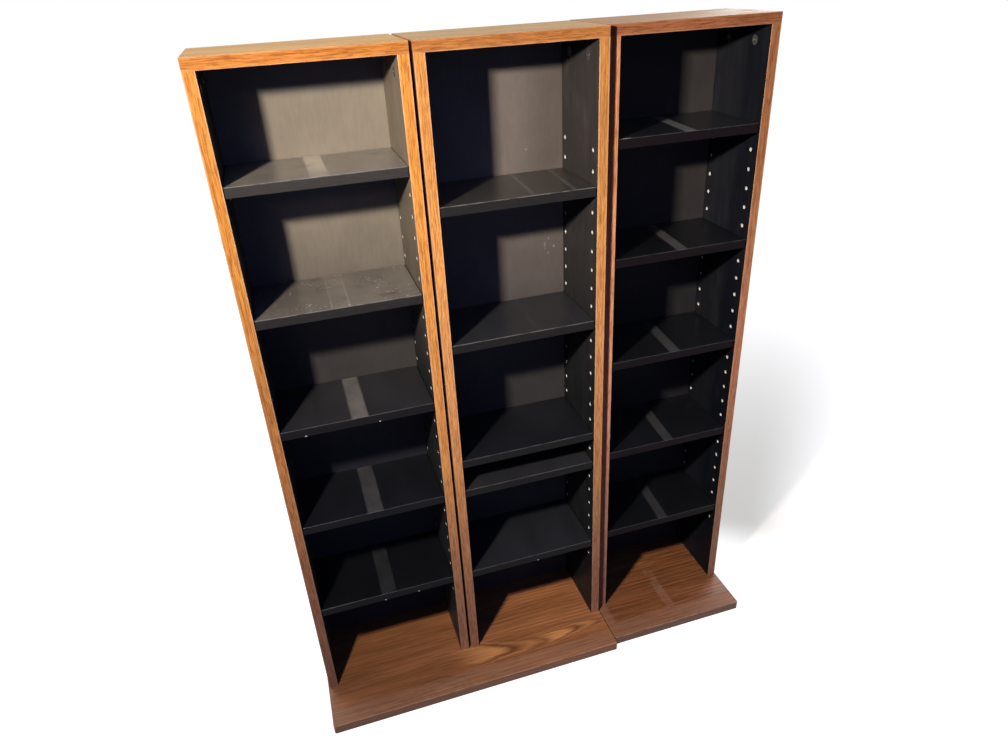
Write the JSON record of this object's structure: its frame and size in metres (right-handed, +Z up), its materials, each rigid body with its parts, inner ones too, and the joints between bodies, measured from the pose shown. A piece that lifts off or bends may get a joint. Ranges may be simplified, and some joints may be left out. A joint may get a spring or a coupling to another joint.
{
  "type": "media storage tower set",
  "caption": "Tall narrow disc storage towers of oak-look board with black insides, adjustable shelves on pins and wide base boards.",
  "frame": {"origin": "on the floor, at the middle of the box round all three towers and their bases", "axes": "+Z up, -Y towards the open fronts, +X from the double unit to the single tower"},
  "size_m": [0.8558, 0.254, 1.144],
  "materials": {
    "side_board": "oak-grain laminate outside, satin black inside",
    "top_board": "satin oak-grain laminate",
    "oak_edging": "oak-grain edging strip, worn pale at its corners",
    "back_panel": "black printed hardboard",
    "black_shelf": "satin black laminate, scuffed and dusty",
    "base_board": "dark oak-grain laminate, dusty along its front",
    "shelf_pin": "moulded black plastic",
    "cam_zinc": "dull zinc die-casting",
    "screw_steel": "zinc-plated steel",
    "dowel_beech": "bare beech"
  },
  "bodies": {
    "cabinets": {"left_tower_left_side": "side_board", "left_tower_right_side": "side_board", "left_tower_top": "top_board", "left_tower_edging": "oak_edging", "left_tower_back": "back_panel", "left_tower_shelf_pins_1": "shelf_pin", "left_tower_shelf_pins_2": "shelf_pin", "left_tower_shelf_pins_3": "shelf_pin", "left_tower_shelf_pins_4": "shelf_pin", "left_tower_shelf_pins_5": "shelf_pin", "left_tower_cam_discs": "cam_zinc", "left_tower_cam_bolts": "screw_steel", "left_tower_dowels": "dowel_beech", "middle_tower_left_side": "side_board", "middle_tower_right_side": "side_board", "middle_tower_top": "top_board", "middle_tower_edging": "oak_edging", "middle_tower_back": "back_panel", "middle_tower_shelf_pins_1": "shelf_pin", "middle_tower_shelf_pins_2": "shelf_pin", "middle_tower_shelf_pins_3": "shelf_pin", "middle_tower_shelf_pins_4": "shelf_pin", "middle_tower_shelf_pins_5": "shelf_pin", "middle_tower_cam_discs": "cam_zinc", "middle_tower_cam_bolts": "screw_steel", "middle_tower_dowels": "dowel_beech", "right_tower_left_side": "side_board", "right_tower_right_side": "side_board", "right_tower_top": "top_board", "right_tower_edging": "oak_edging", "right_tower_back": "back_panel", "right_tower_shelf_pins_1": "shelf_pin", "right_tower_shelf_pins_2": "shelf_pin", "right_tower_shelf_pins_3": "shelf_pin", "right_tower_shelf_pins_4": "shelf_pin", "right_tower_shelf_pins_5": "shelf_pin", "right_tower_cam_discs": "cam_zinc", "right_tower_cam_bolts": "screw_steel", "right_tower_dowels": "dowel_beech", "double_base": "base_board", "double_base_screws": "screw_steel", "single_base": "base_board", "single_base_screws": "screw_steel"},
    "left_tower_shelf_1": {"left_tower_shelf_1": "black_shelf"},
    "left_tower_shelf_2": {"left_tower_shelf_2": "black_shelf"},
    "left_tower_shelf_3": {"left_tower_shelf_3": "black_shelf"},
    "left_tower_shelf_4": {"left_tower_shelf_4": "black_shelf"},
    "left_tower_shelf_5": {"left_tower_shelf_5": "black_shelf"},
    "middle_tower_shelf_1": {"middle_tower_shelf_1": "black_shelf"},
    "middle_tower_shelf_2": {"middle_tower_shelf_2": "black_shelf"},
    "middle_tower_shelf_3": {"middle_tower_shelf_3": "black_shelf"},
    "middle_tower_shelf_4": {"middle_tower_shelf_4": "black_shelf"},
    "middle_tower_shelf_5": {"middle_tower_shelf_5": "black_shelf"},
    "right_tower_shelf_1": {"right_tower_shelf_1": "black_shelf"},
    "right_tower_shelf_2": {"right_tower_shelf_2": "black_shelf"},
    "right_tower_shelf_3": {"right_tower_shelf_3": "black_shelf"},
    "right_tower_shelf_4": {"right_tower_shelf_4": "black_shelf"},
    "right_tower_shelf_5": {"right_tower_shelf_5": "black_shelf"}
  },
  "joints": [
    {"name": "left_tower_shelf_1_draw", "type": "slide", "parent": "cabinets", "child": "left_tower_shelf_1", "axis": [0, -1, 0], "range_m": [0, 0.1]},
    {"name": "left_tower_shelf_2_draw", "type": "slide", "parent": "cabinets", "child": "left_tower_shelf_2", "axis": [0, -1, 0], "range_m": [0, 0.1]},
    {"name": "left_tower_shelf_3_draw", "type": "slide", "parent": "cabinets", "child": "left_tower_shelf_3", "axis": [0, -1, 0], "range_m": [0, 0.1]},
    {"name": "left_tower_shelf_4_draw", "type": "slide", "parent": "cabinets", "child": "left_tower_shelf_4", "axis": [0, -1, 0], "range_m": [0, 0.1]},
    {"name": "left_tower_shelf_5_draw", "type": "slide", "parent": "cabinets", "child": "left_tower_shelf_5", "axis": [0, -1, 0], "range_m": [0, 0.1]},
    {"name": "middle_tower_shelf_1_draw", "type": "slide", "parent": "cabinets", "child": "middle_tower_shelf_1", "axis": [0, -1, 0], "range_m": [0, 0.1]},
    {"name": "middle_tower_shelf_2_draw", "type": "slide", "parent": "cabinets", "child": "middle_tower_shelf_2", "axis": [0, -1, 0], "range_m": [0, 0.1]},
    {"name": "middle_tower_shelf_3_draw", "type": "slide", "parent": "cabinets", "child": "middle_tower_shelf_3", "axis": [0, -1, 0], "range_m": [0, 0.1]},
    {"name": "middle_tower_shelf_4_draw", "type": "slide", "parent": "cabinets", "child": "middle_tower_shelf_4", "axis": [0, -1, 0], "range_m": [0, 0.1]},
    {"name": "middle_tower_shelf_5_draw", "type": "slide", "parent": "cabinets", "child": "middle_tower_shelf_5", "axis": [0, -1, 0], "range_m": [0, 0.1]},
    {"name": "right_tower_shelf_1_draw", "type": "slide", "parent": "cabinets", "child": "right_tower_shelf_1", "axis": [0, -1, 0], "range_m": [0, 0.1]},
    {"name": "right_tower_shelf_2_draw", "type": "slide", "parent": "cabinets", "child": "right_tower_shelf_2", "axis": [0, -1, 0], "range_m": [0, 0.1]},
    {"name": "right_tower_shelf_3_draw", "type": "slide", "parent": "cabinets", "child": "right_tower_shelf_3", "axis": [0, -1, 0], "range_m": [0, 0.1]},
    {"name": "right_tower_shelf_4_draw", "type": "slide", "parent": "cabinets", "child": "right_tower_shelf_4", "axis": [0, -1, 0], "range_m": [0, 0.1]},
    {"name": "right_tower_shelf_5_draw", "type": "slide", "parent": "cabinets", "child": "right_tower_shelf_5", "axis": [0, -1, 0], "range_m": [0, 0.1]}
  ]
}
